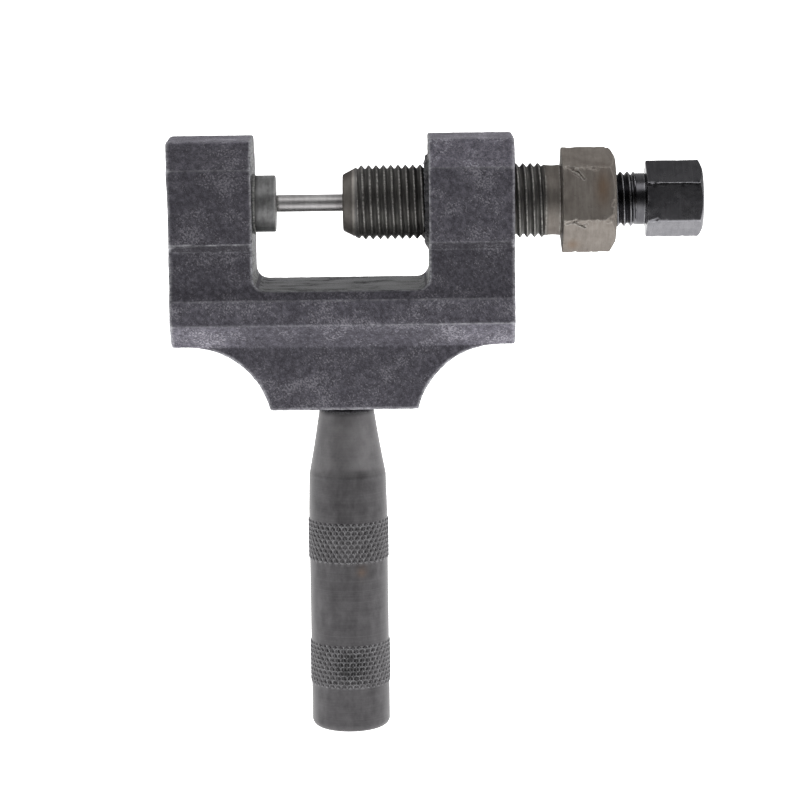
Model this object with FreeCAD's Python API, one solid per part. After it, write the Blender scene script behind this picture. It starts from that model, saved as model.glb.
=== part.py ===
import FreeCAD, Part
import math
import os

# Chain breaker with a screwed-in handle. Millimetres.
# Origin: centre of the anvil's working face, on the screw axis.
# +X: from the anvil towards the bolt heads. -Y: front. +Z: up, away from the handle.

Vector = FreeCAD.Vector
X_AXIS = Vector(1, 0, 0)
Z_AXIS = Vector(0, 0, 1)

# Cutting tools run this far past the faces they open, and joined solids overlap by as much
overrun = 1.0

# Share of a thread's pitch taken by each sloping flank and by each flat at a crest or root
thread_flank = 0.375
thread_flat = 0.125

# Frame: one profile across Y and Z, the same all along X, with a slot milled through it
frame_left = -20.35
frame_right = 45.6
slot_left = -4.3
slot_right = 29.3
slot_floor = -15.65
slot_corner_radius = 2.4
top_z = 12.7
top_half = 6.5
head_half = 11.25
head_top_z = 7.6
head_low_z = -6.6
web_half = 10.25
web_top_z = -8.0
web_low_z = -15.2
crossbar_top_z = -17.4
crossbar_low_z = -22.2
foot_half = 7.5
foot_top_z = -26.8
foot_z = -39.2
scoop_radius = 16.1
scoop_left_start = 3.1
scoop_right_start = 3.0
frame_edge_radius = 0.5
rim_height = 0.8
rim_base_radius = 9.2
rim_tip_radius = 7.6

# Anvil bush, pressed into the left leg
anvil_radius = 5.45
anvil_bore_radius = 2.8
anvil_recess = 0.4
anvil_shoulder_radius = 5.8
anvil_shoulder_width = 0.4
anvil_edge = 0.25

# Pressure bolt: hollow, outer thread with the pitch of 9/16-18 and close to its diameter
main_pitch = 1.411
main_crest_radius = 7.1
main_root_radius = 6.28
main_clearance = 0.05
nose_x = 12.85
nose_radius = 5.4
nose_taper_end = 15.8
main_thread_end = 51.6
main_neck_radius = 6.75
main_hex_start = 54.8
main_hex_end = 65.1
main_hex_flats = 17.8
main_hex_turn = 13.0
main_hex_face = 8.2
main_hex_drop = 1.3
guide_end = 20.0
chamber_radius = 4.4
chamber_end = 38.0

# Push bolt: screwed into the pressure bolt, thread with the pitch of 7/16-20 but 0.5 mm thinner
push_pitch = 1.27
push_crest_radius = 5.3
push_root_radius = 4.65
push_clearance = 0.05
push_thread_start = 45.0
push_thread_end = 69.0
push_neck_radius = 4.9
push_hex_start = 71.0
push_hex_end = 81.85
push_hex_flats = 12.9
push_hex_turn = 0.0
push_hex_face = 5.9
push_hex_drop = 0.8
push_point_radius = 4.0
push_point_chamfer = 0.5

# Punch pin, its spring and the spring's seat
pin_radius = 1.65
pin_clearance = 0.05
pin_tip_x = 0.1
pin_tip_chamfer = 0.2
pin_head_radius = 3.9
pin_head_x = 34.0
pin_head_length = 4.0
pin_head_chamfer = 0.5
washer_outer_radius = 4.2
washer_thickness = 1.0
washer_clearance = 0.15
spring_wire = 0.8
spring_mean_radius = 3.1
spring_turns = 7.0
spring_gap = 0.05

# Handle, screwed onto a stud in the foot
handle_x = 12.95
handle_radius = 7.65
handle_neck_radius = 5.3
handle_mouth_radius = 4.4
handle_mouth_depth = 0.4
handle_top_z = -39.8
handle_full_z = -53.0
handle_end_z = -103.3
handle_end_radius = 1.5
handle_end_steps = 6
knurl_radius = 7.85
upper_knurl = (-61.5, -69.7)
lower_knurl = (-85.8, -94.5)
stud_radius = 4.0
stud_top_z = -27.0
stud_low_z = -55.0
stud_chamfer = 0.6


def solid_of(shape):
    """The one solid of a finished shape, checked."""
    shape = shape.removeSplitter()
    assert shape.isValid() and len(shape.Solids) == 1
    return shape.Solids[0]


def rod(start, end, radius):
    """A cylinder along the screw axis from X start to X end."""
    return Part.makeCylinder(radius, end - start, Vector(start, 0, 0), X_AXIS)


def turned(outline, axis, centre=Vector(0, 0, 0)):
    """Turn an outline of (distance along the axis, radius) points about X or Z through centre."""
    ends = [(outline[0][0], 0.0)] + list(outline) + [(outline[-1][0], 0.0)]
    if axis is X_AXIS:
        points = [Vector(along, 0, radius) for along, radius in ends]
    else:
        points = [Vector(radius, 0, along) for along, radius in ends]
    points = [point + centre for point in points]
    face = Part.Face(Part.makePolygon(points + [points[0]]))
    return face.revolve(centre, axis, 360)


def thread_outline(start, end, crest, root, pitch):
    """Outline of ring-shaped thread ridges, one per pitch, from start to end along the axis."""
    flank = thread_flank * pitch
    flat = thread_flat * pitch
    outline = [(start, root)]
    for turn in range(int((end - start) / pitch)):
        ridge = start + turn * pitch
        outline.append((ridge + flat, root))
        outline.append((ridge + flat + flank, crest))
        outline.append((ridge + 2 * flat + flank, crest))
        outline.append((ridge + 2 * flat + 2 * flank, root))
    outline.append((end, root))
    return outline


def hexagon_head(start, end, across_flats, turn, face_radius, corner_drop):
    """A hexagon along X, turned about X, its outer end domed by a sphere.

    The dome leaves a flat end face of face_radius and takes corner_drop off the corners' length.
    """
    corner = across_flats / math.sqrt(3)
    angles = [math.radians(60 * side + turn) for side in range(7)]
    points = [Vector(start, corner * math.sin(a), corner * math.cos(a)) for a in angles]
    prism = Part.Face(Part.makePolygon(points)).extrude(Vector(end - start, 0, 0))
    depth = (corner**2 + corner_drop**2 - face_radius**2) / (2 * corner_drop)
    dome = Part.makeSphere(math.hypot(depth, face_radius), Vector(end - depth, 0, 0), X_AXIS)
    return prism.common(dome)


def make_frame():
    half_profile = [
        (top_half, top_z),
        (head_half, head_top_z),
        (head_half, head_low_z),
        (web_half, web_top_z),
        (web_half, web_low_z),
        (head_half, crossbar_top_z),
        (head_half, crossbar_low_z),
        (foot_half, foot_top_z),
        (foot_half, foot_z),
    ]
    front = [Vector(frame_left, -half, z) for half, z in half_profile]
    back = [Vector(frame_left, half, z) for half, z in reversed(half_profile)]
    outline = Part.Face(Part.makePolygon(front + back + [front[0]]))
    frame = outline.extrude(Vector(frame_right - frame_left, 0, 0))

    depth = 4 * head_half
    for scoop_x, side_x in (
        (frame_left + scoop_left_start, frame_left),
        (frame_right - scoop_right_start, frame_right),
    ):
        centre = Vector(scoop_x, -0.5 * depth, foot_top_z - scoop_radius)
        frame = frame.cut(Part.makeCylinder(scoop_radius, depth, centre, Vector(0, 1, 0)))
        corner = Vector(min(scoop_x, side_x), -0.5 * depth, foot_z)
        frame = frame.cut(Part.makeBox(abs(scoop_x - side_x), depth, foot_top_z - foot_z, corner))

    ends = [edge for edge in frame.Edges if all(
        min(abs(v.X - frame_left), abs(v.X - frame_right)) < 1e-6 for v in edge.Vertexes
    ) and abs(edge.Vertexes[0].X - edge.Vertexes[-1].X) < 1e-6]
    frame = frame.makeFillet(frame_edge_radius, ends)

    slot_corner = Vector(slot_left, -0.5 * depth, slot_floor)
    slot = Part.makeBox(slot_right - slot_left, depth, top_z - slot_floor + overrun, slot_corner)
    corners = [edge for edge in slot.Edges if all(abs(v.Z - slot_floor) < 1e-6 for v in edge.Vertexes)
               and abs(edge.Vertexes[0].X - edge.Vertexes[1].X) < 1e-6]
    frame = frame.cut(slot.makeFillet(slot_corner_radius, corners))

    rim = turned([
        (slot_right - rim_height, rim_tip_radius),
        (slot_right, rim_base_radius),
        (slot_right + overrun, rim_base_radius),
    ], X_AXIS)
    frame = frame.fuse(rim)

    frame = frame.cut(rod(frame_left - overrun, slot_left + overrun, anvil_radius))
    frame = frame.cut(rod(
        slot_right - rim_height - overrun, frame_right + overrun, main_crest_radius + main_clearance
    ))
    stud_hole = Part.makeCylinder(
        stud_radius, stud_top_z - foot_z + overrun, Vector(handle_x, 0, foot_z - overrun), Z_AXIS
    )
    return solid_of(frame.cut(stud_hole))


def make_anvil():
    body = turned([
        (frame_left + anvil_recess, anvil_radius),
        (slot_left, anvil_radius),
        (slot_left, anvil_shoulder_radius),
        (slot_left + anvil_shoulder_width, anvil_shoulder_radius),
        (slot_left + anvil_shoulder_width, anvil_radius),
        (-anvil_edge, anvil_radius),
        (0, anvil_radius - anvil_edge),
    ], X_AXIS)
    return solid_of(body.cut(rod(frame_left, overrun, anvil_bore_radius)))


def make_pressure_bolt():
    thread = thread_outline(
        nose_taper_end, main_thread_end, main_crest_radius, main_root_radius, main_pitch
    )
    shank = turned(
        [(nose_x, nose_radius)] + thread
        + [(main_thread_end, main_neck_radius), (main_hex_start + overrun, main_neck_radius)],
        X_AXIS,
    )
    head = hexagon_head(
        main_hex_start, main_hex_end, main_hex_flats, main_hex_turn, main_hex_face, main_hex_drop
    )
    bolt = shank.fuse(head)
    bolt = bolt.cut(rod(nose_x - overrun, guide_end + overrun, pin_radius + pin_clearance))
    bolt = bolt.cut(rod(guide_end, chamber_end + overrun, chamber_radius))
    return solid_of(bolt.cut(rod(
        chamber_end, main_hex_end + overrun, push_crest_radius + push_clearance
    )))


def make_push_bolt():
    thread = thread_outline(
        push_thread_start, push_thread_end, push_crest_radius, push_root_radius, push_pitch
    )
    point_start = pin_head_x + pin_head_length
    shank = turned(
        [(point_start, push_point_radius - push_point_chamfer),
         (point_start + push_point_chamfer, push_point_radius),
         (push_thread_start, push_point_radius)] + thread
        + [(push_thread_end, push_neck_radius), (push_hex_start + overrun, push_neck_radius)],
        X_AXIS,
    )
    head = hexagon_head(
        push_hex_start, push_hex_end, push_hex_flats, push_hex_turn, push_hex_face, push_hex_drop
    )
    return solid_of(shank.fuse(head))


def make_punch_pin():
    head_end = pin_head_x + pin_head_length
    return solid_of(turned([
        (pin_tip_x, pin_radius - pin_tip_chamfer),
        (pin_tip_x + pin_tip_chamfer, pin_radius),
        (pin_head_x, pin_radius),
        (pin_head_x, pin_head_radius),
        (head_end - pin_head_chamfer, pin_head_radius),
        (head_end, pin_head_radius - pin_head_chamfer),
    ], X_AXIS))


def make_spring_washer():
    washer_end = guide_end + washer_thickness
    disc = rod(guide_end, washer_end, washer_outer_radius)
    bore = rod(guide_end - overrun, washer_end + overrun, pin_radius + washer_clearance)
    return solid_of(disc.cut(bore))


def make_return_spring():
    """Round-wire helix between the washer and the pin's head, clear of both by a hair."""
    first = guide_end + washer_thickness + spring_gap + 0.5 * spring_wire
    last = pin_head_x - spring_gap - 0.5 * spring_wire
    length = last - first
    path = Part.makeHelix(length / spring_turns, length, spring_mean_radius)
    section = Part.Wire(Part.makeCircle(
        0.5 * spring_wire, Vector(spring_mean_radius, 0, 0), Vector(0, 1, 0)
    ))
    coil = Part.Wire(path).makePipeShell([section], True, True)
    coil.rotate(Vector(0, 0, 0), Vector(0, 1, 0), 90)
    coil.translate(Vector(first, 0, 0))
    return solid_of(coil)


def make_handle():
    outline = [
        (handle_top_z, handle_mouth_radius),
        (handle_top_z - handle_mouth_depth, handle_neck_radius),
        (handle_full_z, handle_radius),
    ]
    for top, low in (upper_knurl, lower_knurl):
        outline += [(top, handle_radius), (top, knurl_radius), (low, knurl_radius), (low, handle_radius)]
    end_centre_z = handle_end_z + handle_end_radius
    end_centre_r = handle_radius - handle_end_radius
    for step in range(handle_end_steps + 1):
        angle = 0.5 * math.pi * step / handle_end_steps
        outline.append((
            end_centre_z - handle_end_radius * math.sin(angle),
            end_centre_r + handle_end_radius * math.cos(angle),
        ))
    bar = turned(outline, Z_AXIS, Vector(handle_x, 0, 0))
    hole = Part.makeCylinder(
        stud_radius, handle_top_z - stud_low_z + overrun, Vector(handle_x, 0, stud_low_z), Z_AXIS
    )
    return solid_of(bar.cut(hole))


def make_handle_stud():
    return solid_of(turned([
        (stud_top_z, stud_radius - stud_chamfer),
        (stud_top_z - stud_chamfer, stud_radius),
        (stud_low_z + stud_chamfer, stud_radius),
        (stud_low_z, stud_radius - stud_chamfer),
    ], Z_AXIS, Vector(handle_x, 0, 0)))


makers = {
    "frame": make_frame,
    "anvil": make_anvil,
    "pressure_bolt": make_pressure_bolt,
    "push_bolt": make_push_bolt,
    "punch_pin": make_punch_pin,
    "return_spring": make_return_spring,
    "spring_washer": make_spring_washer,
    "handle": make_handle,
    "handle_stud": make_handle_stud,
}

os.makedirs("parts", exist_ok=True)
for name, make in makers.items():
    shape = make()
    shape.exportStep("parts/" + name + ".step")
    print(name, round(shape.Volume, 1), "mm3", shape.isValid(), shape.isClosed())
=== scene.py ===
import bpy
import bmesh
import math
import numpy as np
from mathutils import Matrix, Vector, noise


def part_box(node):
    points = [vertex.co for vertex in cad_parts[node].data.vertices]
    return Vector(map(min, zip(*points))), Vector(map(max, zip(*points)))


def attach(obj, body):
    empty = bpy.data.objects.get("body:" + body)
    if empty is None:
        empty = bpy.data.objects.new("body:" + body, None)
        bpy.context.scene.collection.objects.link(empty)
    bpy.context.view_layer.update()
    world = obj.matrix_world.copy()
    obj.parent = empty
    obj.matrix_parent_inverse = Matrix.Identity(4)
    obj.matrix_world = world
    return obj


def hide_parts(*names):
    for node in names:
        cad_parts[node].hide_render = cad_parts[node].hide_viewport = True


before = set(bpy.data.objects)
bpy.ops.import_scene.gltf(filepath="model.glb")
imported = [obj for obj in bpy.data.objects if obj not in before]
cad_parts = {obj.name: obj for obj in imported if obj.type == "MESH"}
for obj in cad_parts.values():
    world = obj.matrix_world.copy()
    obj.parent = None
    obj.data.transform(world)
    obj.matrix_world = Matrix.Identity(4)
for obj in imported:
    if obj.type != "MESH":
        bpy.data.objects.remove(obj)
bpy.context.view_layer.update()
MM = 0.001

# ---------------------------------------------------------------- places read from the CAD parts


def extent(node, axis):
    """Lowest and highest coordinate of a CAD node along axis 0, 1 or 2, in millimetres."""
    low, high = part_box(node)
    return low[axis] / MM, high[axis] / MM


anvil_left, anvil_face = extent("anvil", 0)
nose_x, main_hex_end = extent("pressure_bolt", 0)
push_tip_x, push_hex_end = extent("push_bolt", 0)
pin_tip_x, pin_head_end = extent("punch_pin", 0)
handle_low, handle_top = extent("handle", 2)
handle_x = sum(extent("handle", 0)) / 2
stud_low, stud_top = extent("handle_stud", 2)

# Edges of the frame that its box doesn't give, in millimetres: the slot along X and its floor,
# then the levels where the front face changes slope, from the head down to the foot
slot_left, slot_right, slot_floor = -4.3, 29.3, -15.65
bevel_z = 12.3
head_low_z, step_z, web_z, rib_z, chamfer_z, foot_z = 7.6, -6.6, -8.0, -17.4, -22.2, -26.8


# ---------------------------------------------------------------- mesh helpers


def link(name, mesh):
    piece = bpy.data.objects.new(name, mesh)
    bpy.context.scene.collection.objects.link(piece)
    return piece


def add_value(mesh, name, values):
    """Store one number per vertex, which materials read by name."""
    layer = mesh.attributes.new(name, "FLOAT", "POINT")
    layer.data.foreach_set("value", np.asarray(values, np.float32))


class Turning:
    """A surface turned about X or Z, in millimetres, whose radius may change around the axis.

    Each row is a ring of points. A row may climb along the axis as it goes round, as a thread does;
    the row that meets it after one turn is then `wrap` rows further on.
    """

    def __init__(self, columns):
        self.columns = columns
        self.angle = np.arange(columns) * 2 * math.pi / columns
        self.along, self.radius, self.quads = [], [], []
        self.rows = 0

    def add(self, along, radius, wrap=0):
        """Add rows as one stretch; it is joined to the stretch before it."""
        along = np.asarray(along, float) * np.ones((1, self.columns))
        radius = np.asarray(radius, float) * np.ones((1, self.columns))
        count = len(along)
        first = self.rows
        index = (first + np.arange(count))[:, None] * self.columns + np.arange(self.columns)[None, :]
        low, high = index[:-1], index[1:]
        body = np.stack([low[:, :-1], low[:, 1:], high[:, 1:], high[:, :-1]], -1).reshape(-1, 4)
        steps = np.arange(count - 1 - wrap)
        seam = np.stack([
            index[steps, -1], index[steps + wrap, 0], index[steps + wrap + 1, 0], index[steps + 1, -1]
        ], -1)
        self.quads += [body, seam]
        if first:
            last = (first - 1) * self.columns + np.arange(self.columns)
            here = index[0]
            self.quads.append(np.stack([last, np.roll(last, -1), np.roll(here, -1), here], -1))
        self.along.append(along)
        self.radius.append(radius)
        self.rows += count

    def rings(self, points):
        """Add plain rings, one for each (along, radius)."""
        points = np.asarray(points, float)
        self.add(points[:, :1], points[:, 1:])

    def build(self, name, axis="X", centre=(0, 0)):
        """The finished mesh object, welded where rows meet."""
        along = np.concatenate(self.along).ravel() * MM
        radius = np.concatenate(self.radius).ravel() * MM
        angle = np.tile(self.angle, self.rows)
        across, up = radius * np.cos(angle), radius * np.sin(angle)
        if axis == "X":
            points = np.stack([along, across, up], -1)
        else:
            points = np.stack([across + centre[0] * MM, up + centre[1] * MM, along], -1)
        mesh = bpy.data.meshes.new(name)
        mesh.from_pydata(points.tolist(), [], np.concatenate(self.quads).tolist())
        shape = bmesh.new()
        shape.from_mesh(mesh)
        bmesh.ops.remove_doubles(shape, verts=shape.verts, dist=0.002 * MM)
        bmesh.ops.dissolve_degenerate(shape, edges=shape.edges, dist=0.001 * MM)
        bmesh.ops.recalc_face_normals(shape, faces=shape.faces)
        shape.to_mesh(mesh)
        shape.free()
        mesh.shade_smooth()
        return link(name, mesh)


def crease(piece, degrees):
    """Mark edges sharper than this, so that smooth shading stops at them."""
    piece.data.set_sharp_from_angle(angle=math.radians(degrees))


def co_of(piece):
    points = np.zeros(len(piece.data.vertices) * 3)
    piece.data.vertices.foreach_get("co", points)
    return points.reshape(-1, 3)


def normals_of(piece):
    normals = np.zeros(len(piece.data.vertices) * 3)
    piece.data.vertices.foreach_get("normal", normals)
    return normals.reshape(-1, 3)


def convexity(piece, passes=1):
    """How far each vertex stands out of its neighbours' plane, over the edge length: wear follows it."""
    points = co_of(piece)
    ends = np.zeros(len(piece.data.edges) * 2, np.int64)
    piece.data.edges.foreach_get("vertices", ends)
    one, other = ends.reshape(-1, 2).T
    total = np.zeros_like(points)
    count = np.zeros(len(points))
    np.add.at(total, one, points[other])
    np.add.at(total, other, points[one])
    np.add.at(count, one, 1)
    np.add.at(count, other, 1)
    count = np.maximum(count, 1)
    length = np.linalg.norm(points[one] - points[other], axis=1)
    reach = np.zeros(len(points))
    np.add.at(reach, one, length)
    np.add.at(reach, other, length)
    reach = np.maximum(reach / count, 1e-9)
    value = np.einsum("ij,ij->i", points - total / count[:, None], normals_of(piece)) / reach
    for _ in range(passes):
        spread = np.zeros(len(points))
        np.add.at(spread, one, value[other])
        np.add.at(spread, other, value[one])
        value = 0.5 * value + 0.5 * spread / count
    return value


def fractal(points, size, octaves, seed):
    """Smooth noise at each point, about -1 to 1. size is the widest feature in millimetres."""
    offset = Vector((seed * 17.3, seed * 5.1, seed * 9.7))
    return np.array([
        noise.fractal(Vector(p) + offset, 0.9, 2.1, octaves) for p in (points / (size * MM))
    ])


def smooth_min(a, b, width):
    """The smaller of two, rounded where they cross."""
    h = np.clip(0.5 + 0.5 * (b - a) / width, 0, 1)
    return b + (a - b) * h - width * h * (1 - h)


# ---------------------------------------------------------------- shapes of threads and heads


def add_thread(turning, pitch, start, end, crest, root, low_edge, high_edge, floor, shift=0.0):
    """Add a helical thread between two plain rings at start and end.

    low_edge and high_edge give the greatest radius at a distance from the start and from the end,
    floor the least radius at a distance from the end. shift moves the ridge along the axis.
    """
    step = 12
    slope = np.abs(np.arange(step) / step - 0.5) / 0.5
    ridge = np.clip((0.92 - slope) / 0.80, 0, 1)
    turns = int(math.ceil((end - start) / pitch)) + 2
    offset = start - 2 * pitch + shift + np.arange(turns * step + 1) * pitch / step
    profile = root + (crest - root) * np.tile(ridge, turns + 1)[: len(offset)]
    along = offset[:, None] + pitch * turning.angle[None, :] / (2 * math.pi)
    along = np.clip(along, start, end)
    radius = profile[:, None] * np.ones_like(along)
    radius = np.minimum(radius, low_edge(along - start))
    radius = np.minimum(radius, high_edge(end - along))
    radius = np.maximum(radius, floor(end - along))
    turning.add(along, radius, wrap=step)


def hexagon_radius(angle, across_flats, turn, sharpness=70):
    """Radius of a hexagon at each angle, its corners just rounded. turn is in degrees."""
    total = 0
    for side in range(6):
        normal = math.radians(60 * side) - math.radians(turn)
        total = total + np.maximum(np.cos(angle - normal), 0) ** sharpness
    return 0.5 * across_flats / total ** (1 / sharpness)


def add_hexagon(turning, start, end, across_flats, turn, neck_radius, face_radius, corner_drop,
                gouges=(), edge=0.22, chips=0.3, seed=5):
    """Add a hexagon head from its neck-side face to the rim of its end face.

    Each gouge is (x, degrees round) at both ends, then width and depth: a groove with raised lips.
    chips is how deep the corner edges are knocked.
    """
    corner = across_flats / math.sqrt(3)
    depth = (corner**2 + corner_drop**2 - face_radius**2) / (2 * corner_drop)
    dome = math.hypot(depth, face_radius)
    outline = hexagon_radius(turning.angle, across_flats, turn)[None, :]

    turning.rings([(start, neck_radius), (start, neck_radius + 0.3)])
    share = np.linspace(0.15, 1, 6)[:, None]
    side_at_start = np.minimum(outline, corner - 0.25) - edge
    turning.add(start * np.ones((6, 1)), neck_radius + 0.3 + share * (side_at_start - neck_radius - 0.3))

    ramp = np.array([0.02, 0.07, 0.14, 0.24, 0.36, 0.55])
    body = np.linspace(0.75, end - start - 2.4, 60)
    tail = np.linspace(end - start - 2.3, end - start - 0.02, 32)
    x = start + np.concatenate([ramp, body, tail])[:, None]
    near = outline - edge + np.sqrt(np.clip(edge**2 - np.clip(edge - (x - start), 0, edge) ** 2, 0, None))
    near = np.minimum(near, corner - 0.25 + 0.9 * (x - start))
    cap = np.sqrt(np.clip(dome**2 - (x - (end - depth)) ** 2, 0, None))
    radius = smooth_min(near, cap, 0.16)

    places = np.stack(np.broadcast_arrays(
        x, radius * np.cos(turning.angle), radius * np.sin(turning.angle)), -1).reshape(-1, 3) * MM
    rough = fractal(places, 1.3, 4, seed).reshape(radius.shape)
    waves = fractal(places, 4.5, 2, seed + 1).reshape(radius.shape)
    near_corner = np.clip((outline / corner - 0.945) / 0.05, 0, 1)
    rim = np.clip(1 - (x - start) / 0.7, 0, 1)
    knocked = np.clip(rough + 0.35 * waves - 0.05, 0, None) * np.maximum(near_corner, 0.6 * rim)
    radius = radius - chips * knocked - 0.03 * waves - 0.012 * rough
    round_place = turning.angle[None, :] * 0.95 * corner
    for from_x, from_angle, to_x, to_angle, wide, deep in gouges:
        first = np.array([from_x, math.radians(from_angle) * 0.95 * corner])
        span = np.array([to_x, math.radians(to_angle) * 0.95 * corner]) - first
        share = ((x - first[0]) * span[0] + (round_place - first[1]) * span[1]) / (span @ span)
        share = np.clip(share, 0, 1)
        gap = np.hypot(x - first[0] - share * span[0], round_place - first[1] - share * span[1])
        gap = gap / wide * (1 + 0.5 * rough)
        groove = np.exp(-gap**2)
        lip = 0.3 * np.exp(-((gap - 1.8) / 0.6) ** 2)
        radius = radius - 0.8 * deep * (groove - lip)
    inside = np.clip((end - x) / 0.3, 0, 1)
    turning.add(x, np.where(inside < 1, np.minimum(radius, cap), radius))
    turning.rings([(end, face_radius - 0.25)])


# ---------------------------------------------------------------- node helpers for materials


class Nodes:
    """Short names for building a material's nodes."""

    def __init__(self, name):
        self.material = bpy.data.materials.new(name)
        self.material.use_nodes = True
        self.tree = self.material.node_tree
        self.shader = self.tree.nodes["Principled BSDF"]
        self.place = self.tree.nodes.new("ShaderNodeTexCoord").outputs["Object"]

    def new(self, kind, **values):
        node = self.tree.nodes.new(kind)
        for key, value in values.items():
            setattr(node, key, value)
        return node

    def set(self, node, **sockets):
        for key, value in sockets.items():
            socket = node.inputs[key.replace("_", " ")]
            if isinstance(value, bpy.types.NodeSocket):
                self.tree.links.new(value, socket)
            else:
                socket.default_value = value
        return node

    def mapped(self, scale, turn=(0, 0, 0)):
        """Object coordinates scaled so that one unit is `scale` millimetres along each axis."""
        node = self.new("ShaderNodeMapping", vector_type="POINT")
        turned = self.new("ShaderNodeVectorRotate", rotation_type="EULER_XYZ")
        self.tree.links.new(self.place, turned.inputs["Vector"])
        turned.inputs["Rotation"].default_value = [math.radians(t) for t in turn]
        self.tree.links.new(turned.outputs[0], node.inputs["Vector"])
        node.inputs["Scale"].default_value = [1 / (s * MM) for s in scale]
        return node.outputs[0]

    def noise(self, vector, detail=3.0, roughness=0.5):
        node = self.new("ShaderNodeTexNoise")
        self.set(node, Vector=vector, Scale=1.0, Detail=detail, Roughness=roughness, Distortion=0.0)
        return node.outputs["Fac"]

    def ramp(self, value, stops):
        """Map a value through (position, grey or colour) stops."""
        node = self.new("ShaderNodeValToRGB")
        node.color_ramp.interpolation = "LINEAR"
        self.tree.links.new(value, node.inputs["Fac"])
        stones = node.color_ramp.elements
        while len(stones) < len(stops):
            stones.new(0.5)
        for stone, (position, colour) in zip(stones, stops):
            stone.position = position
            stone.color = (*colour, 1) if isinstance(colour, tuple) else (colour, colour, colour, 1)
        return node.outputs["Color"]

    def math(self, operation, one, other=0.0, clamp=False):
        node = self.new("ShaderNodeMath", operation=operation, use_clamp=clamp)
        for socket, value in zip(node.inputs, (one, other)):
            if isinstance(value, bpy.types.NodeSocket):
                self.tree.links.new(value, socket)
            else:
                socket.default_value = value
        return node.outputs[0]

    def mix(self, share, one, other):
        """Colour one where share is 0 and other where it is 1."""
        node = self.new("ShaderNodeMix", data_type="RGBA")
        for socket, value in ((node.inputs[0], share), (node.inputs[6], one), (node.inputs[7], other)):
            if isinstance(value, bpy.types.NodeSocket):
                self.tree.links.new(value, socket)
            elif socket.type == "RGBA":
                socket.default_value = (*value, 1)
            else:
                socket.default_value = value
        return node.outputs[2]

    def scaled(self, colour, by):
        node = self.new("ShaderNodeVectorMath", operation="SCALE")
        self.tree.links.new(colour, node.inputs[0])
        self.tree.links.new(by, node.inputs["Scale"])
        return node.outputs[0]

    def stored(self, name):
        return self.new("ShaderNodeAttribute", attribute_name=name).outputs["Fac"]

    def bump(self, height, distance, strength):
        node = self.new("ShaderNodeBump")
        self.set(node, Height=height, Distance=distance * MM, Strength=strength)
        return node.outputs[0]

    def finish(self, **sockets):
        self.set(self.shader, **sockets)
        return self.material


def forged_steel():
    """Dark phosphated forging: fine grain, light flecks, bright worn edges, streaked machined slot."""
    n = Nodes("forged_steel")
    coarse = n.noise(n.mapped((6, 6, 4)), detail=3, roughness=0.6)
    mottle = n.noise(n.mapped((0.85, 0.85, 1.1), (0, 35, 0)), detail=5, roughness=0.78)
    grain = n.noise(n.mapped((0.22, 0.22, 0.22)), detail=2, roughness=0.6)
    base = n.ramp(mottle, [(0.36, (0.026, 0.024, 0.030)), (0.50, (0.046, 0.0435, 0.053)),
                           (0.64, (0.090, 0.085, 0.102))])
    base = n.mix(n.ramp(coarse, [(0.4, 0.0), (0.7, 0.25)]), base, (0.082, 0.078, 0.088))
    base = n.mix(n.ramp(grain, [(0.45, 0.0), (0.68, 0.35)]), base, (0.125, 0.120, 0.142))
    flecks = n.noise(n.mapped((0.34, 0.34, 0.42), (0, 40, 0)), detail=3, roughness=0.7)
    crowd = n.math("MULTIPLY", n.math("SUBTRACT", coarse, 0.5), 0.6)
    fleck_share = n.ramp(n.math("ADD", flecks, crowd), [(0.57, 0.0), (0.66, 0.9)])
    colour = n.mix(fleck_share, base, (0.168, 0.162, 0.182))
    milled = n.stored("milled")
    lines = n.noise(n.mapped((9, 3.4, 0.6)), detail=5, roughness=0.75)
    milled_colour = n.ramp(lines, [(0.40, (0.050, 0.050, 0.054)), (0.60, (0.095, 0.095, 0.102))])
    # the stored tone lightens or darkens the colour with painted light and shade
    colour = n.scaled(n.mix(milled, colour, milled_colour), n.stored("tone"))
    edge = n.stored("wear")
    scratch = n.noise(n.mapped((1.3, 0.6, 0.6)), detail=5, roughness=0.75)
    worn = n.math("MULTIPLY", edge, n.ramp(scratch, [(0.38, 0.1), (0.60, 0.9)]), clamp=True)
    colour = n.mix(worn, colour, (0.36, 0.36, 0.38))
    rough = n.math("SUBTRACT", 0.66, n.math("MULTIPLY", n.math("MAXIMUM", worn, milled), 0.22))
    height = n.math("ADD", n.math("MULTIPLY", grain, 0.6), n.math("MULTIPLY", mottle, 1.2))
    height = n.math("ADD", height, n.math("MULTIPLY", n.math("MULTIPLY", milled, lines), 3.0))
    # the milled faces shine in streaks, and the skin evenly
    gloss = n.math("SUBTRACT", n.ramp(lines, [(0.42, 0.0), (0.60, 0.5)]), 0.35)
    gloss = n.math("ADD", 0.35, n.math("MULTIPLY", milled, gloss))
    return n.finish(Base_Color=colour, Roughness=rough, Metallic=0.35, Specular_IOR_Level=gloss,
                    Specular_Tint=(0.5, 0.5, 0.5, 1), Normal=n.bump(height, 0.09, 0.8))


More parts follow.
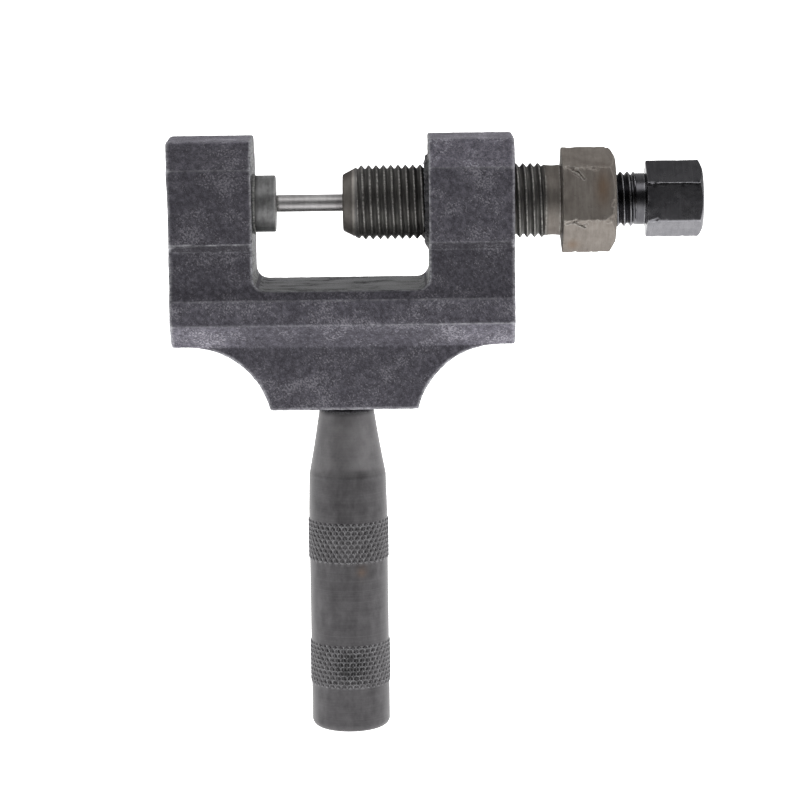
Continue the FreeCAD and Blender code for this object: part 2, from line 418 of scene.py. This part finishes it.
def steel(name, dark, light, bare_dark, bare_light, bright, line_axis, metallic=0.9, rough=0.42,
          bare_rough=0.5, wear=0.7, blotch=5.0, smear=0.7, line=0.09, rust=(0.16, 0.085, 0.035),
          tint=0.4, painted=True):
    """Machined steel. The stored `bare` share blends from the black finish to bare metal, `rust`
    adds stains and `wear` brightens worn edges; fine tool lines run across line_axis. The stored
    `tone` holds painted light and shade; painted is False for a piece that stores no `tone`."""
    n = Nodes(name)
    blotches = n.noise(n.mapped((blotch, blotch, blotch)), detail=5, roughness=0.65)
    smear_scale = [blotch * 0.6] * 3
    smear_scale["XYZ".index(line_axis)] = smear
    smears = n.noise(n.mapped(tuple(smear_scale)), detail=4, roughness=0.6)
    tone = n.math("ADD", n.math("MULTIPLY", blotches, 0.6), n.math("MULTIPLY", smears, 0.4))
    colour = n.ramp(tone, [(0.38, dark), (0.62, light)])
    bare = n.stored("bare")
    colour = n.mix(bare, colour, n.ramp(tone, [(0.38, bare_dark), (0.62, bare_light)]))
    speck = n.noise(n.mapped((0.45, 0.45, 0.45)), detail=3, roughness=0.7)
    colour = n.mix(n.ramp(speck, [(0.6, 0.0), (0.75, 0.35)]), colour, dark)
    # the stored tone lightens or darkens the colour with painted light and shade
    if painted:
        colour = n.scaled(colour, n.stored("tone"))
    patchy = n.ramp(blotches, [(0.3, 0.5), (0.6, 1.0)])
    stain = n.math("MULTIPLY", n.stored("rust"), patchy, clamp=True)
    colour = n.mix(stain, colour, rust)
    scale = [30, 30, 30]
    scale["XYZ".index(line_axis)] = line
    lines = n.noise(n.mapped(tuple(scale)), detail=2)
    colour = n.mix(n.ramp(lines, [(0.5, 0.0), (0.8, 0.08)]), colour, bright)
    scratch = n.noise(n.mapped((0.7, 0.5, 0.5)), detail=4, roughness=0.75)
    patchy = n.ramp(scratch, [(0.38, 0.05), (0.62, 1.0)])
    worn = n.math("MULTIPLY", n.stored("wear"), patchy, clamp=True)
    worn = n.math("MULTIPLY", worn, wear)
    colour = n.mix(worn, colour, bright)
    roughness = n.math("ADD", n.math("MULTIPLY", blotches, 0.2), n.math(
        "ADD", rough - 0.1, n.math("MULTIPLY", bare, bare_rough - rough)))
    height = n.math("ADD", lines, n.math("MULTIPLY", speck, 0.8))
    return n.finish(Base_Color=colour, Roughness=roughness, Metallic=metallic,
                    Specular_IOR_Level=0.3, Specular_Tint=(tint, tint, tint, 1),
                    Normal=n.bump(height, 0.012, 0.7))


# ---------------------------------------------------------------- the pieces


def wear_of(piece, share=1.0):
    """Store 0 to 1 on convex edges, as the share of finish that is worn off, times share."""
    low, high = 0.05, 0.22
    value = convexity(piece, 0)
    add_value(piece.data, "wear", share * np.clip((value - low) / (high - low), 0, 1))


def make_frame_block():
    """The forged block: the CAD solid remeshed finely, its edges softened and its skin roughened."""
    voxel = 0.28
    middle = 12.6
    slot_margin, slot_reach = 0.35, 14
    bore_radius = 7.3
    rim_width, rim_inner, rim_outer = 1.3, 6.9, 9.6
    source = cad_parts["frame"]
    piece = link("frame_block", source.data.copy())
    piece.data.materials.clear()
    bpy.context.view_layer.objects.active = piece
    remesh = piece.modifiers.new("remesh", "REMESH")
    remesh.mode = "VOXEL"
    remesh.voxel_size = voxel * MM
    remesh.use_smooth_shade = True
    soften = piece.modifiers.new("soften", "SMOOTH")
    soften.factor = 0.5
    soften.iterations = 3
    for modifier in (remesh, soften):
        with bpy.context.temp_override(object=piece, active_object=piece, selected_objects=[piece]):
            bpy.ops.object.modifier_apply(modifier=modifier.name)
    points, normals = co_of(piece), normals_of(piece)
    x, z = points[:, 0] / MM, points[:, 2] / MM
    inside = (x > slot_left - slot_margin) & (x < slot_right + slot_margin)
    inside &= (z < slot_reach) & (z > slot_floor - slot_margin)
    milled = inside & ((np.abs(normals[:, 0]) > 0.8) | (normals[:, 2] > 0.8))
    radial = np.hypot(points[:, 1], points[:, 2]) / MM
    bore = (radial < bore_radius) & ((x < slot_left) | (x > slot_right))
    hilly = 0.055 * fractal(points, 2.4, 3, 1) + 0.02 * fractal(points, 0.8, 2, 2)
    hilly = np.where(milled | bore, 0.15 * hilly, hilly)
    burr = (x < slot_right - 0.1) & (x > slot_right - rim_width)
    burr &= (radial < rim_outer) & (radial > rim_inner)
    hilly = hilly + burr * 0.30 * fractal(points, 0.9, 3, 4)
    rough_face = (x > 20) & (z > head_low_z + 0.3) & (z < bevel_z + 0.2)
    hilly = hilly + rough_face * 0.09 * fractal(points * [1, 1, 0.4], 0.6, 2, 8)
    edge = convexity(piece, 2)
    chips = np.clip(edge * 6, 0, 1) * np.clip(fractal(points, 1.7, 3, 3), 0, 1) * 0.22
    points += normals * ((hilly - chips) * MM)[:, None]
    # the left end swells a little at mid height, and the right end at its top
    bulge = np.interp(z, [-8, -5, 0, 5, 9, 12], [0, 0.12, 0.15, 0, -0.1, -0.3])
    points[:, 0] += bulge * np.clip((-14 - x) / 5, 0, 1) * MM
    points[:, 0] += np.interp(z, [4, 12], [0, 0.12]) * np.clip((x - 40) / 5, 0, 1) * MM
    piece.data.vertices.foreach_set("co", points.ravel())
    piece.data.update()

    left = x < 0.5 * (slot_left + slot_right)
    skin = np.abs(points[:, 1]) / MM > 7
    # the step line sags towards the left end and wanders; skin is the front and back only
    sag = 0.3 * np.clip((slot_left - x) / 16, 0, 1) * np.clip(1 - np.abs(z - step_z) / 3, 0, 1)
    sag += 0.12 * np.clip(1 - np.abs(z - step_z) / 1.5, 0, 1) * fractal(points * [1, 0, 0], 3.5, 3, 6)
    points[:, 2] -= sag * skin * MM
    piece.data.vertices.foreach_set("co", points.ravel())
    piece.data.update()
    z = z - sag * skin
    # painted light and shade: each band of height is made lighter or darker as it looks lit from the
    # front; the top face and the ends of the lower chamfer carry painted light, the band under the step a
    # painted shadow, and the right leg is lighter than the left
    far_end = np.clip((np.abs(x - middle) - 17) / 8, 0, 1)
    tone = np.select(
        [z > bevel_z, z > head_low_z, z > step_z, z > web_z, z > rib_z, z > chamfer_z, z > foot_z],
        [1.9, np.where(left, 1.12, 1.95), np.where(left, 0.94, 1.10), 0.60,
         np.interp(z, [rib_z, -13, web_z], [0.98, 0.90, 0.86]), 1.17, 1.15 + 0.5 * far_end], 1.05,
    )
    # painted shade: the slot's floor is darker towards the front, and the slot's end faces darker all
    # over
    slot_floor_shade = np.interp(points[:, 1] / MM, [-12, -4, 8], [0.6, 0.9, 1.0])
    tone = np.where(milled, np.where(np.abs(normals[:, 0]) > 0.8, 0.6, slot_floor_shade), tone)
    add_value(piece.data, "tone", tone)
    broken = 0.5 + 0.5 * fractal(points * [1, 0, 1], 2.2, 3, 7)

    def line(level, half, strength):
        near = np.clip(1 - np.abs(z - level) / half, 0, 1)
        return near * strength * np.clip(2.2 * broken, 0.15, 1)

    # worn lines along the front's edges, brightened by the wear attribute
    wear_lines_and_facet_light = line(step_z + 0.03, 0.14, np.where(left, 1.0, 0.3)) + line(rib_z, 0.22, 0.5)
    wear_lines_and_facet_light += line(chamfer_z, 0.22, np.interp(x, [-20, 20, 40], [0.35, 0.3, 0.9]))
    wear_lines_and_facet_light += line(head_low_z, 0.2, 0.25) + line(web_z, 0.14, np.where(left, 0.2, 0.1))
    wear = np.maximum(np.clip((edge - 0.025) / 0.09, 0, 1), wear_lines_and_facet_light * skin)
    add_value(piece.data, "wear", np.where(bore, 0, wear))
    add_value(piece.data, "milled", milled.astype(float))
    return piece


def make_anvil():
    t = Turning(192)
    t.rings([
        (anvil_left + 0.3, 2.8), (anvil_left, 3.1), (anvil_left, 5.2), (anvil_left + 0.25, 5.45),
        (slot_left, 5.45), (slot_left + 0.02, 5.8), (slot_left + 0.32, 5.8), (slot_left + 0.4, 5.7),
        (slot_left + 0.42, 5.42), (slot_left + 0.7, 5.45),
        *[(x, 5.45) for x in np.linspace(slot_left + 1, -0.5, 12)],
        (-0.3, 5.45), (-0.14, 5.42), (-0.05, 5.36), (anvil_face, 5.22),
        *[(anvil_face, r) for r in np.linspace(4.9, 3.3, 6)],
        (anvil_face, 3.0), (-0.06, 2.88), (-0.2, 2.8), (-4, 2.8), (-12, 2.8),
        (anvil_left + 0.3, 2.8),
    ])
    piece = t.build("anvil_bush")
    x = co_of(piece)[:, 0] / MM
    # painted shadow: the bush is darkened where it meets the left leg's face at the slot
    add_value(piece.data, "tone", np.interp(x, [slot_left + 0.3, slot_left + 1.2], [0.4, 1.0]))
    return piece


def make_pressure_bolt():
    t = Turning(432)
    pitch, crest, root, neck = 1.411, 7.15, 6.45, 6.8
    slope = 0.51
    start = nose_x + (root - 5.4) / slope
    thread_end, hex_start = 51.6, 54.8
    t.rings([
        (nose_x + 0.25, 1.7), (nose_x + 0.05, 1.8), (nose_x, 1.95),
        *[(nose_x, r) for r in np.linspace(2.4, 4.9, 7)],
        (nose_x, 5.15), (nose_x + 0.04, 5.28), (nose_x + 0.14, 5.4),
        *[(nose_x + d, 5.4 + slope * d) for d in np.linspace(0.35, start - nose_x, 6)],
    ])
    add_thread(
        t, pitch, start, thread_end, crest, root,
        lambda d: root + slope * d,
        lambda d: neck + 1.2 * d,
        lambda d: root + np.clip(1 - d / 1.3, 0, 1) ** 2 * (neck - root),
        shift=0.55,
    )
    t.rings([(x, neck - 0.12 * math.sin(math.pi * (x - thread_end) / 2.9))
             for x in np.linspace(thread_end, hex_start - 0.35, 9)])
    t.rings([(hex_start - 0.3, neck - 0.2), (hex_start - 0.15, neck - 0.25)])
    gouges = [
        (55.7, 136, 57.6, 141, 0.22, 0.30), (57.4, 139, 58.9, 149, 0.16, 0.26),
        (56.6, 142, 58.0, 147, 0.14, 0.16), (60.0, 136, 61.2, 138, 0.35, 0.20),
        (56.9, 199, 58.9, 208, 0.20, 0.36), (55.4, 202, 57.2, 197, 0.22, 0.28),
        (58.3, 205, 59.3, 202, 0.14, 0.20), (63.3, 198, 64.0, 195, 0.30, 0.22),
        (64.3, 181, 64.8, 176, 0.30, 0.24), (55.0, 80, 57.5, 76, 0.25, 0.16),
        (58.0, 20, 59.6, 14, 0.25, 0.25), (56.0, 318, 58.0, 314, 0.3, 0.25),
        (61.0, 330, 62.5, 322, 0.2, 0.2),
    ]
    add_hexagon(t, hex_start, main_hex_end, 17.8, 13.0, neck - 0.25, 8.2, 1.3, gouges)
    t.rings([
        (main_hex_end, 7.4), (main_hex_end, 6.4), (main_hex_end, 5.95), (main_hex_end - 0.12, 5.75),
        (main_hex_end - 0.5, 5.4), (58, 5.4), (50, 5.4), (42, 5.4), (38, 5.4), (38, 4.4), (30, 4.4),
        (20, 4.4), (20, 1.7), (16, 1.7), (nose_x + 0.25, 1.7),
    ])
    piece = t.build("pressure_bolt_body")
    x, y, z = co_of(piece).T / MM
    nose = np.clip((15.4 - x) / 1.2, 0, 1) * 0.48
    shank = np.clip((x - 51.0) / 1.4, 0, 1) * 0.8 + np.clip((x - hex_start) / 0.3, 0, 1) * 0.2
    add_value(piece.data, "bare", nose + shank)
    patch = np.exp(-((x - 62.4) / 1.3) ** 2 - ((z - 3.0) / 3.0) ** 2) * (y < 0)
    blot = np.exp(-((x - 56.8) / 1.2) ** 2 - ((z + 8.2) / 1.0) ** 2) * (y < 0)
    add_value(piece.data, "rust", 0.6 * patch + 0.35 * blot)
    # painted light: the thread is lightened most at its roots, against the shade in them, more so right
    # of the slot and lower down; the nose is lighter towards its bottom and the hexagon towards its top
    height = (np.hypot(y, z) - root) / (crest - root)
    painted_thread_light = np.interp(height, [0, 0.4, 1], [3.0, 2.0, 1.15]) * np.where(x > slot_right, 1.35, 1.0)
    painted_thread_light = painted_thread_light * (1 - 0.03 * np.clip(z, -7, 0))
    smooth = np.select([x < start, x > hex_start], [1 - 0.035 * z, 1 + 0.012 * z], 1.0)
    tone = np.where((x > start) & (x < thread_end - 1), painted_thread_light, smooth)
    add_value(piece.data, "tone", tone)
    wear_of(piece, np.where(x < start + 0.2, 0.15, 1.0))
    return piece


def make_push_bolt():
    t = Turning(240)
    pitch, crest, root, neck = 1.27, 5.3, 4.65, 4.95
    start, end, hex_start = 45.0, 69.0, 71.0
    t.rings([
        (push_tip_x, 0.0), (push_tip_x, 1.5), (push_tip_x, 3.4), (push_tip_x + 0.15, 3.75),
        (push_tip_x + 0.5, 4.0), (40.5, 4.0), (43.5, 4.0), (44.2, 4.2), (start, root),
    ])
    add_thread(
        t, pitch, start, end, crest, root,
        lambda d: root + 0.8 * d,
        lambda d: neck + 1.2 * d,
        lambda d: root + np.clip(1 - d / 1.2, 0, 1) ** 2 * (neck - root),
    )
    t.rings([(x, neck) for x in np.linspace(end, hex_start - 0.3, 7)])
    t.rings([(hex_start - 0.2, neck - 0.12), (hex_start - 0.08, neck - 0.15)])
    gouges = [(71.3, 151, 72.6, 148, 0.16, 0.14), (73.0, 150, 74.6, 152, 0.12, 0.08),
              (71.6, 210, 73.0, 207, 0.15, 0.12), (75.5, 335, 77.0, 328, 0.18, 0.12)]
    add_hexagon(t, hex_start, push_hex_end, 12.9, 0.0, neck - 0.15, 5.9, 0.8, gouges, 0.2, 0.12, 9)
    t.rings([(push_hex_end, r) for r in (5.3, 4.2, 3.0, 1.5, 0.0)])
    piece = t.build("push_bolt_body")
    x, y, z = co_of(piece).T / MM
    # painted light: the hexagon is darker at its top and lighter at its bottom, a painted reflection of
    # the table below it; the rest of the bolt is set to 0.72
    wear_lines_and_facet_light = 0.9 - 0.32 * np.clip(z / 5, -1, 1)
    add_value(piece.data, "tone", np.where(x > hex_start, wear_lines_and_facet_light, 0.72))
    return piece


def make_punch_pin():
    t = Turning(96)
    radius = 1.65
    head_gap = 0.03
    head_end = pin_head_end - head_gap
    t.rings([
        (pin_tip_x, 0.0), (pin_tip_x, 0.8), (pin_tip_x, 1.4), (pin_tip_x + 0.06, 1.55),
        (pin_tip_x + 0.2, radius),
        *[(x, radius) for x in np.linspace(0.8, 33.9, 44)],
        (34, 1.7), (34, 3.6), (34.1, 3.82), (34.3, 3.9), (36, 3.9), (37.5, 3.9), (37.8, 3.75),
        (head_end, 3.4), (head_end, 1.8), (head_end, 0.0),
    ])
    return t.build("extractor_pin")


def knurl_rows(top, low, columns, body, crest, across=40, tall=1.8):
    """Heights of diamond knurling between two levels, fading out at both ends."""
    count = int(round((top - low) / (tall / 12)))
    z = np.linspace(top, low, count + 1)[:, None]
    turn = np.arange(columns)[None, :] * across / columns
    ridge = []
    for lean in (1, -1):
        phase = (turn + lean * z / tall) % 1.0
        ridge.append(np.clip((1 - np.abs(2 * phase - 1)) / 0.62, 0, 1))
    shape = np.minimum(ridge[0], ridge[1])
    fade = np.clip(np.minimum(top - z, z - low) / 0.35, 0, 1)
    groove = body - 0.06
    return z, body + fade * (groove + (crest - groove) * shape - body)


def make_handle():
    columns = 480
    t = Turning(columns)
    body = 7.65
    crest = 7.85
    neck = 5.3
    t.rings([
        (handle_top - 0.5, 4.02), (handle_top - 0.1, 4.3), (handle_top, 4.5), (handle_top, 4.8),
        (handle_top - 0.08, 5.05), (handle_top - 0.35, neck),
    ])
    full, full_radius = -53.0, 7.48
    share = np.linspace(0.03, 1, 26)
    flare = share - 0.035 * np.sin(math.pi * share)
    t.rings(np.stack([handle_top - 0.35 + share * (full - handle_top + 0.35),
                      neck + flare * (full_radius - neck)], -1))
    level = full
    for top, low in ((-61.5, -69.7), (-85.8, -94.5)):
        plain = np.linspace(level - 0.4, top + 0.1, 14)
        t.rings([(z, np.interp(z, [-60, full], [body, full_radius])) for z in plain])
        t.add(*knurl_rows(top, low, columns, body, crest))
        level = low
    end_radius = 1.5
    t.rings([(z, body) for z in np.linspace(level - 0.2, handle_low + end_radius + 0.05, 10)])
    turn = np.linspace(0, math.pi / 2, 12)
    t.rings(np.stack([handle_low + end_radius - end_radius * np.sin(turn),
                      body - end_radius + end_radius * np.cos(turn)], -1))
    t.rings([(handle_low, r) for r in (4.5, 3.0, 1.5, 0.5)])
    t.rings([(handle_low, 0.0)])
    piece = t.build("handle_bar", "Z", (handle_x, 0))
    x, y, z = co_of(piece).T / MM
    right = (x - handle_x) / body
    smear = np.exp(-((right - 0.30) / 0.25) ** 2) * np.clip((z + 51.5) / 0.6, 0, 1)
    add_value(piece.data, "bare", np.clip((z + 53.5) / 2.5, 0, 1) * 0.55 + 0.35 * smear)
    spot = np.exp(-((x - handle_x - 2.6) ** 2 + (z + 71.0) ** 2) / 0.9) * (y < 0)
    add_value(piece.data, "rust", 0.6 * spot)
    blot = np.exp(-((x - handle_x - 0.2) / 2.4) ** 2 - ((z + 89.8) / 2.6) ** 2) * (y < 0)
    blotch = np.exp(-((x - handle_x - 3.2) / 1.6) ** 2 - ((z + 52.3) / 0.9) ** 2) * (y < 0)
    # painted shadow: the top of the neck, in the gap under the foot, is darkened; blot and blotch are
    # darker patches on the front
    gap_shade = np.clip((z + 41.0) / 0.8, 0, 1)
    darker = 0.7 * np.clip(1.8 * blot, 0, 1) + 0.35 * blotch + 0.6 * gap_shade
    add_value(piece.data, "tone", 1 - darker)
    return piece


def make_stud():
    t = Turning(96)
    pitch, crest, root = 1.25, 4.0, 3.4
    t.rings([(stud_low, 0.0), (stud_low, 2.0), (stud_low, root)])
    add_thread(
        t, pitch, stud_low + 0.05, stud_top - 0.05, crest, root,
        lambda d: root + d, lambda d: root + d, lambda d: 0 * d,
    )
    t.rings([(stud_top, root), (stud_top, 2.0), (stud_top, 0.0)])
    return t.build("threaded_stud", "Z", (handle_x, 0))


frame_block = make_frame_block()
anvil = make_anvil()
pressure_bolt = make_pressure_bolt()
push_bolt = make_push_bolt()
pin = make_punch_pin()
handle = make_handle()
stud = make_stud()

for piece in (anvil, pressure_bolt, push_bolt, pin, handle, stud):
    if "wear" not in piece.data.attributes:
        wear_of(piece)
    if "tone" not in piece.data.attributes:
        add_value(piece.data, "tone", np.ones(len(piece.data.vertices)))
    crease(piece, 50)

steel_frame = forged_steel()
steel_anvil = steel(
    "anvil_steel", (0.13, 0.13, 0.13), (0.27, 0.27, 0.27), (0.2, 0.2, 0.19), (0.3, 0.3, 0.29),
    (0.5, 0.5, 0.48), "X", metallic=0.7, rough=0.55, tint=0.6, blotch=3.0,
)
steel_pressure = steel(
    "pressure_bolt_steel", (0.038, 0.037, 0.036), (0.064, 0.063, 0.060), (0.150, 0.132, 0.118),
    (0.225, 0.205, 0.185), (0.42, 0.41, 0.39), "X", rough=0.5, bare_rough=0.60, wear=0.65,
)
steel_push = steel(
    "push_bolt_steel", (0.078, 0.077, 0.084), (0.12, 0.118, 0.126), (0.3, 0.3, 0.32),
    (0.4, 0.4, 0.42), (0.5, 0.5, 0.52), "X", metallic=1.0, rough=0.27, tint=0.7, wear=0.35,
)
steel_pin = steel(
    "pin_steel", (0.29, 0.28, 0.28), (0.42, 0.41, 0.41), (0.5, 0.5, 0.5), (0.6, 0.6, 0.6),
    (0.8, 0.78, 0.76), "X", metallic=1.0, rough=0.46, tint=0.5,
)
steel_handle = steel(
    "handle_steel", (0.034, 0.032, 0.034), (0.066, 0.063, 0.066), (0.145, 0.14, 0.144),
    (0.19, 0.184, 0.188), (0.30, 0.30, 0.31), "Z", metallic=0.45, rough=0.44, tint=1.0,
    rust=(0.11, 0.065, 0.04), smear=5.0, blotch=3.0,
)
steel_spring = steel(
    "spring_steel", (0.3, 0.3, 0.3), (0.42, 0.42, 0.42), (0.5, 0.5, 0.5), (0.6, 0.6, 0.6),
    (0.7, 0.7, 0.7), "X", metallic=1.0, rough=0.3, painted=False,
)

for piece, node, body, slot, material in (
    (frame_block, "frame", "frame", "frame_steel", steel_frame),
    (anvil, "anvil", "frame", "anvil_steel", steel_anvil),
    (pressure_bolt, "pressure_bolt", "pressure_bolt", "pressure_bolt_steel", steel_pressure),
    (push_bolt, "push_bolt", "push_bolt", "push_bolt_steel", steel_push),
    (pin, "punch_pin", "punch", "pin_steel", steel_pin),
    (handle, "handle", "frame", "handle_steel", steel_handle),
    (stud, "handle_stud", "frame", "handle_steel", steel_handle),
):
    piece.data.materials.append(material)
    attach(piece, body)
    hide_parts(node)

for node in ("return_spring", "spring_washer"):
    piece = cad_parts[node]
    piece.data.materials.clear()
    piece.data.materials.append(steel_spring)


# ---------------------------------------------------------------- floor, light and camera


def make_floor():
    """A white table: it glows behind and below the tool and dims towards the viewer's side."""
    mesh = bpy.data.meshes.new("floor")
    half = 30.0
    level = handle_low * MM
    corners = [(-half, -half, level), (half, -half, level), (half, half, level), (-half, half, level)]
    mesh.from_pydata(corners, [], [(0, 1, 2, 3)])
    floor = link("floor", mesh)
    n = Nodes("pale_floor")
    parts = n.new("ShaderNodeSeparateXYZ")
    n.tree.links.new(n.place, parts.inputs[0])
    glow = n.new("ShaderNodeMapRange", interpolation_type="SMOOTHSTEP")
    n.set(glow, Value=parts.outputs["Y"], From_Min=-0.35, From_Max=-0.06, To_Min=0.05, To_Max=1.7)
    pale = n.new("ShaderNodeMapRange", interpolation_type="SMOOTHSTEP")
    n.set(pale, Value=parts.outputs["Y"], From_Min=-0.4, From_Max=-0.1, To_Min=0.35, To_Max=0.85)
    floor.data.materials.append(n.finish(
        Base_Color=pale.outputs["Result"], Roughness=0.9, Emission_Color=(1, 1, 1, 1),
        Emission_Strength=glow.outputs["Result"],
    ))


def make_world():
    """A studio that is bright behind the tool, dimmer overhead and dark on the viewer's side."""
    world = bpy.data.worlds.new("studio")
    bpy.context.scene.world = world
    world.use_nodes = True
    tree = world.node_tree
    direction = tree.nodes.new("ShaderNodeTexCoord")
    parts = tree.nodes.new("ShaderNodeSeparateXYZ")
    tree.links.new(direction.outputs["Generated"], parts.inputs[0])
    level = tree.nodes.new("ShaderNodeMapRange")
    level.interpolation_type = "SMOOTHSTEP"
    for name, value in (("From Min", -0.5), ("From Max", 0.9), ("To Min", 0.06), ("To Max", 0.9)):
        level.inputs[name].default_value = value
    tree.links.new(parts.outputs["Y"], level.inputs["Value"])
    back = tree.nodes["Background"]
    back.inputs["Color"].default_value = (1, 1, 1, 1)
    tree.links.new(level.outputs["Result"], back.inputs["Strength"])


def soft_box(name, place, aim, width, height, watts):
    lamp = bpy.data.lights.new(name, "AREA")
    lamp.shape = "RECTANGLE"
    lamp.size, lamp.size_y = width, height
    lamp.energy = watts
    lamp_object = bpy.data.objects.new(name, lamp)
    bpy.context.scene.collection.objects.link(lamp_object)
    lamp_object.location = place
    direction = Vector(aim) - Vector(place)
    lamp_object.rotation_euler = direction.to_track_quat("-Z", "Y").to_euler()


def make_camera():
    data = bpy.data.cameras.new("camera")
    data.sensor_width = 36
    data.lens = 148.5
    data.clip_end = 100
    camera = bpy.data.objects.new("camera", data)
    bpy.context.scene.collection.objects.link(camera)
    look_down, roll = math.radians(9.7), math.radians(-0.75)
    turn = Matrix.Rotation(math.radians(90) - look_down, 4, "X") @ Matrix.Rotation(roll, 4, "Z")
    camera.matrix_world = Matrix.Translation((0.02335, -0.632, 0.06938)) @ turn
    bpy.context.scene.camera = camera


make_floor()
make_world()
soft_box("front_top_light", (0.1, -0.45, 0.85), (0.01, 0, 0), 0.7, 0.5, 3.0)
soft_box("left_light", (-0.9, -0.25, 0.35), (0.01, 0, -0.02), 0.4, 0.8, 2)
soft_box("right_light", (0.9, -0.25, 0.35), (0.01, 0, -0.02), 0.4, 0.8, 2)
soft_box("top_left_light", (-0.6, 0.1, 0.7), (0.01, 0, 0), 0.4, 0.4, 2.0)
soft_box("top_right_light", (0.6, 0.1, 0.7), (0.01, 0, 0), 0.4, 0.4, 2.0)
make_camera()
bpy.context.scene.view_settings.view_transform = "Standard"
